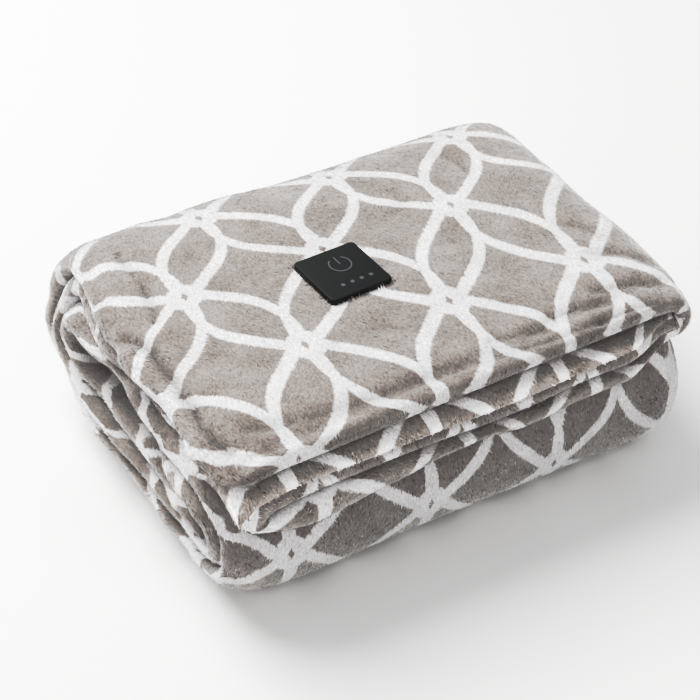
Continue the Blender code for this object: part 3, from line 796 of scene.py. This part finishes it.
control = dict(
    side=0.0450, corner=0.0032, cornerSteps=8, rim=0.0011, rimSteps=4, sharp=math.radians(40),
    turn=math.radians(3.2),
    ring=(2.3, 6.4), ringRadius=7.1, ringLine=0.42, ringGap=34, bar=7.6,        # print, in mm from the middle
    dots=[(-7.9, -12.1), (-1.0, -12.1), (5.9, -12.1), (12.8, -12.1)], dot=1.35, soft=0.16,
    printDepth=0.4, printEdge=8.0, ink=0.9,             # print only on the top face
    black=(0.0068, 0.0082, 0.0090), grey=(0.120, 0.130, 0.134),
    grain=dict(scale=3.0, detail=2.0, roughness=0.5), bump={"Strength": 0.15, "Distance": 0.0001},
    finish={"Roughness": 0.62, "Specular IOR Level": 0.28},
)


def deselect():
    for thing in bpy.context.selected_objects:
        thing.select_set(False)


def controlMaterial():
    material, shade, shader = newMaterial("matte_black")
    low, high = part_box("touch_control")
    place = shade.node("ShaderNodeMapping", dict(vector_type="TEXTURE"), {
        "Vector": shade.node("ShaderNodeTexCoord", output=3), "Location": (low + high) / 2,
        "Rotation": (0, 0, control["turn"]), "Scale": (0.001, 0.001, 0.001)})
    x, y, height = place.parts()

    def away(centre):
        return shade.node("ShaderNodeVectorMath", dict(operation="LENGTH"), {0: shade.node(
            "ShaderNodeCombineXYZ", None, {0: x - centre[0], 1: y - centre[1]})}, output=1)

    def inked(off, half):  # 1 inside a line or dot, with a soft rim
        return ((half - off) / control["soft"] + 0.5).held()

    ring = inked(abs(away(control["ring"]) - control["ringRadius"]), control["ringLine"])
    sideways = abs(x - control["ring"][0])
    upwards = y - control["ring"][1]
    ring = ring * (1.0 - inked(sideways - upwards * math.tan(math.radians(control["ringGap"])), 0.0))
    barOff = sideways.most(abs(upwards - control["bar"] / 2) - control["bar"] / 2 + control["ringLine"])
    marks = ring.most(inked(barOff, control["ringLine"]))
    for dot in control["dots"]:
        marks = marks.most(inked(away(dot), control["dot"]))
    top = ((height - 1000 * (high.z - low.z) / 2 + control["printDepth"]) * control["printEdge"] + 0.5).held()
    colour = shade.blend(marks * top * control["ink"], (*control["black"], 1), (*control["grey"], 1))
    wire(colour, shader, "Base Color")
    grain = shade.noise(place, **control["grain"])
    wire(shade.node("ShaderNodeBump", None, dict(control["bump"], Height=grain)), shader, "Normal")
    setSockets(shader, control["finish"])
    return material


def roundEdges(pad, wanted, radius, steps):  # wanted says which edges, by their ends
    mesh = bmesh.from_edit_mesh(pad.data)
    for edge in mesh.edges:
        edge.select_set(wanted(edge.verts[0].co, edge.verts[1].co))
    mesh.select_flush_mode()
    bmesh.update_edit_mesh(pad.data)
    bpy.ops.mesh.bevel(offset=radius, segments=steps, affect="EDGES")


def buildControl():
    low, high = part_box("touch_control")
    deselect()
    bpy.ops.mesh.primitive_cube_add(size=1, calc_uvs=False, location=(low + high) / 2,
                                    rotation=(0, 0, control["turn"]))
    pad = bpy.context.object
    pad.name = "touch_pad"
    pad.scale = (control["side"], control["side"], high.z - low.z)
    bpy.ops.object.transform_apply(location=True, rotation=True, scale=True)
    bpy.ops.object.mode_set(mode="EDIT")
    bpy.ops.mesh.select_mode(type="EDGE")
    roundEdges(pad, lambda a, b: abs(a.z - b.z) > 0.001, control["corner"], control["cornerSteps"])
    roundEdges(pad, lambda a, b: min(a.z, b.z) > high.z - 1e-6, control["rim"], control["rimSteps"])
    bpy.ops.object.mode_set(mode="OBJECT")
    pad.data.shade_smooth()
    pad.data.set_sharp_from_angle(angle=control["sharp"])
    pad.data.materials.append(controlMaterial())
    return pad


pad = buildControl()
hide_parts("touch_control")
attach(pad, "root")
print("control made:", len(pad.data.polygons), "faces")

tufts = buildPile(blanket)
for piece in tufts:
    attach(piece, "root")
print("pile made:", sum(len(piece.data.polygons) for piece in tufts), "faces")

# ---- floor, lights and camera
studio = dict(
    floorSize=6.0, floorFinish={"Base Color": (0.93, 0.93, 0.93, 1), "Roughness": 0.9},
    target=(-0.014, -0.006, 0.0655), azimuth=-32.8, elevation=39.8, roll=2.7, distance=1.211,
    focalPixels=1884.0, framePixels=700.0, sensor=36.0,
    world=0.42,
    tones=[(0.0, 0.0), (0.05, 0.036), (0.17, 0.138), (0.33, 0.41), (0.42, 0.52),    # light, and how it shows
           (0.65, 0.69), (0.98, 0.82), (1.30, 0.93), (1.60, 0.99)],
    aim=(0, 0, 0.05),
    lights=[dict(name="key_light", place=(-0.55, 1.05, 1.70), size=1.5, power=52, tint=(1.0, 0.995, 0.985)),
            dict(name="left_light", place=(-1.9, -0.9, 1.0), size=1.4, power=4.5, tint=(1.0, 0.985, 0.965)),
            dict(name="front_light", place=(0.3, -1.5, 1.7), size=1.4, power=6.5, tint=(1.0, 0.985, 0.965))],
)


def buildCamera():
    azimuth, elevation, lean = (math.radians(studio[key]) for key in ("azimuth", "elevation", "roll"))
    back = Vector((math.sin(azimuth) * math.cos(elevation), -math.cos(azimuth) * math.cos(elevation),
                   math.sin(elevation)))
    side = (-back).cross(Vector((0, 0, 1))).normalized()
    rise = side.cross(-back)
    right = side * math.cos(lean) + rise * math.sin(lean)
    up = rise * math.cos(lean) - side * math.sin(lean)
    lens = bpy.data.cameras.new("photo_view")
    lens.sensor_width = studio["sensor"]
    lens.lens = studio["sensor"] * studio["focalPixels"] / studio["framePixels"]
    camera = bpy.data.objects.new("photo_view", lens)
    middle = Vector((*cloth["middle"], 0.0))
    place = Vector(studio["target"]) - middle + back * studio["distance"]
    camera.matrix_world = Matrix.Translation(place) @ Matrix((right, up, back)).transposed().to_4x4()
    bpy.context.scene.collection.objects.link(camera)
    bpy.context.scene.camera = camera


def areaLight(name, place, size, power, tint):
    data = bpy.data.lights.new(name, "AREA")
    data.shape, data.size, data.energy, data.color = "DISK", size, power, tint
    light = bpy.data.objects.new(name, data)
    light.location = place
    light.rotation_euler = (Vector(studio["aim"]) - Vector(place)).to_track_quat("-Z", "Y").to_euler()
    bpy.context.scene.collection.objects.link(light)


def buildStudio():
    deselect()
    bpy.ops.mesh.primitive_plane_add(size=studio["floorSize"], location=(0, 0, 0))
    floor = bpy.context.object
    floor.name = "studio_floor"
    material, _, shader = newMaterial("pale_floor")
    setSockets(shader, studio["floorFinish"])
    floor.data.materials.append(material)
    for light in studio["lights"]:
        areaLight(**light)
    world = bpy.data.worlds.new("studio")
    world.use_nodes = True
    setSockets(world.node_tree.nodes["Background"], {"Color": (1, 1, 1, 1), "Strength": studio["world"]})
    bpy.context.scene.world = world
    view = bpy.context.scene.view_settings
    view.view_transform = "Standard"
    view.use_curve_mapping = True
    brightest, whitest = studio["tones"][-1]
    view.curve_mapping.white_level = (brightest,) * 3
    curve = view.curve_mapping.curves[3]
    for light, shown in studio["tones"][1:-1]:
        curve.points.new(light / brightest, shown)
    curve.points[0].location, curve.points[-1].location = studio["tones"][0], (1.0, whitest)
    view.curve_mapping.update()


buildCamera()
buildStudio()
print("studio made")
